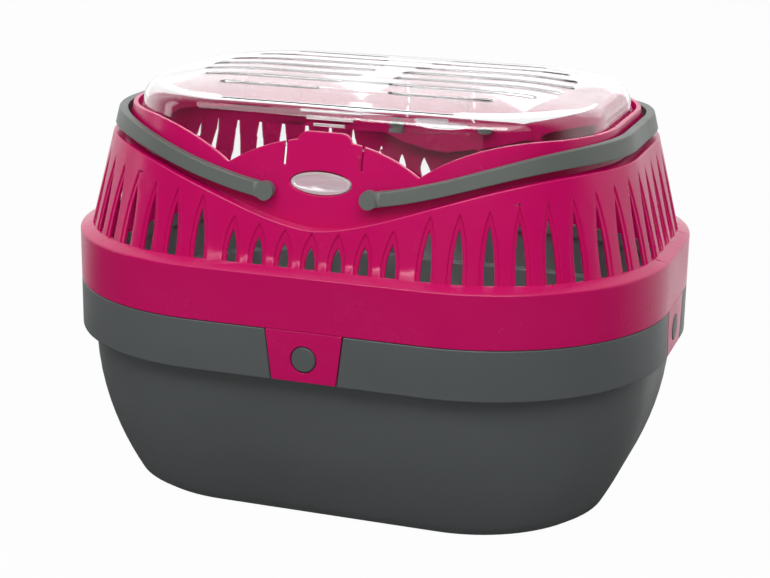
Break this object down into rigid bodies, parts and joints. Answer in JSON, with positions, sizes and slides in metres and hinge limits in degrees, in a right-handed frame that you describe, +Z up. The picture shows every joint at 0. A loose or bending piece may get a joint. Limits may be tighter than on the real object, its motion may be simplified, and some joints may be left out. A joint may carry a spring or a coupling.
{
  "type": "small animal carrier",
  "caption": "Small-animal carrier: tapered tub, slotted clip-on upper shell, clear lift-off lid with two spring latches, and two swinging carry handles.",
  "frame": {"origin": "middle of the flat base, on the surface the carrier stands on", "axes": "+Z up, +X towards the right end, front towards -Y"},
  "size_m": [0.301, 0.232, 0.205],
  "materials": {
    "dark_plastic": "dark grey polypropylene with a soft sheen",
    "magenta_plastic": "magenta moulded plastic, glossy",
    "clear_plastic": "clear moulded plastic",
    "grey_plastic": "mid grey moulded plastic with a soft sheen"
  },
  "bodies": {
    "tub": {"lower_tub": "dark_plastic"},
    "shell": {"upper_shell": "magenta_plastic"},
    "lid_body": {"lid": "clear_plastic"},
    "front_latch_body": {"front_latch": "clear_plastic"},
    "rear_latch_body": {"rear_latch": "clear_plastic"},
    "left_handle_body": {"left_handle": "grey_plastic"},
    "right_handle_body": {"right_handle": "grey_plastic"},
    "front_clip_body": {"front_clip": "magenta_plastic"},
    "rear_clip_body": {"rear_clip": "magenta_plastic"},
    "left_clip_body": {"left_clip": "magenta_plastic"},
    "right_clip_body": {"right_clip": "magenta_plastic"}
  },
  "joints": [
    {"name": "shell_lift", "type": "slide", "parent": "tub", "child": "shell", "axis": [0, 0, 1], "range_m": [0, 0.1], "deforming": ["front_clip", "rear_clip", "left_clip", "right_clip"]},
    {"name": "lid_lift", "type": "slide", "parent": "shell", "child": "lid_body", "axis": [0, 0, 1], "range_m": [0, 0.15], "deforming": ["front_latch", "rear_latch"]},
    {"name": "left_handle", "type": "hinge", "parent": "shell", "child": "left_handle_body", "pos_m": [-0.0252, 0, 0.16314], "axis": [0, 1, 0], "range_deg": [0, 88]},
    {"name": "right_handle", "type": "hinge", "parent": "shell", "child": "right_handle_body", "pos_m": [0.0252, 0, 0.16314], "axis": [0, -1, 0], "range_deg": [0, 88]},
    {"name": "front_latch", "type": "hinge", "parent": "lid_body", "child": "front_latch_body", "pos_m": [0, -0.08456, 0.18186], "axis": [1, 0, 0], "range_deg": [0, 14], "stiffness_Nm_per_rad": 0.4},
    {"name": "rear_latch", "type": "hinge", "parent": "lid_body", "child": "rear_latch_body", "pos_m": [0, 0.08456, 0.18186], "axis": [-1, 0, 0], "range_deg": [0, 14], "stiffness_Nm_per_rad": 0.4},
    {"name": "front_clip", "type": "hinge", "parent": "shell", "child": "front_clip_body", "pos_m": [0, -0.1155, 0.1025], "axis": [-1, 0, 0], "range_deg": [0, 20], "stiffness_Nm_per_rad": 0.4},
    {"name": "rear_clip", "type": "hinge", "parent": "shell", "child": "rear_clip_body", "pos_m": [0, 0.1155, 0.1025], "axis": [1, 0, 0], "range_deg": [0, 20], "stiffness_Nm_per_rad": 0.4},
    {"name": "left_clip", "type": "hinge", "parent": "shell", "child": "left_clip_body", "pos_m": [-0.15, 0, 0.1025], "axis": [0, 1, 0], "range_deg": [0, 20], "stiffness_Nm_per_rad": 0.4},
    {"name": "right_clip", "type": "hinge", "parent": "shell", "child": "right_clip_body", "pos_m": [0.15, 0, 0.1025], "axis": [0, -1, 0], "range_deg": [0, 20], "stiffness_Nm_per_rad": 0.4}
  ]
}
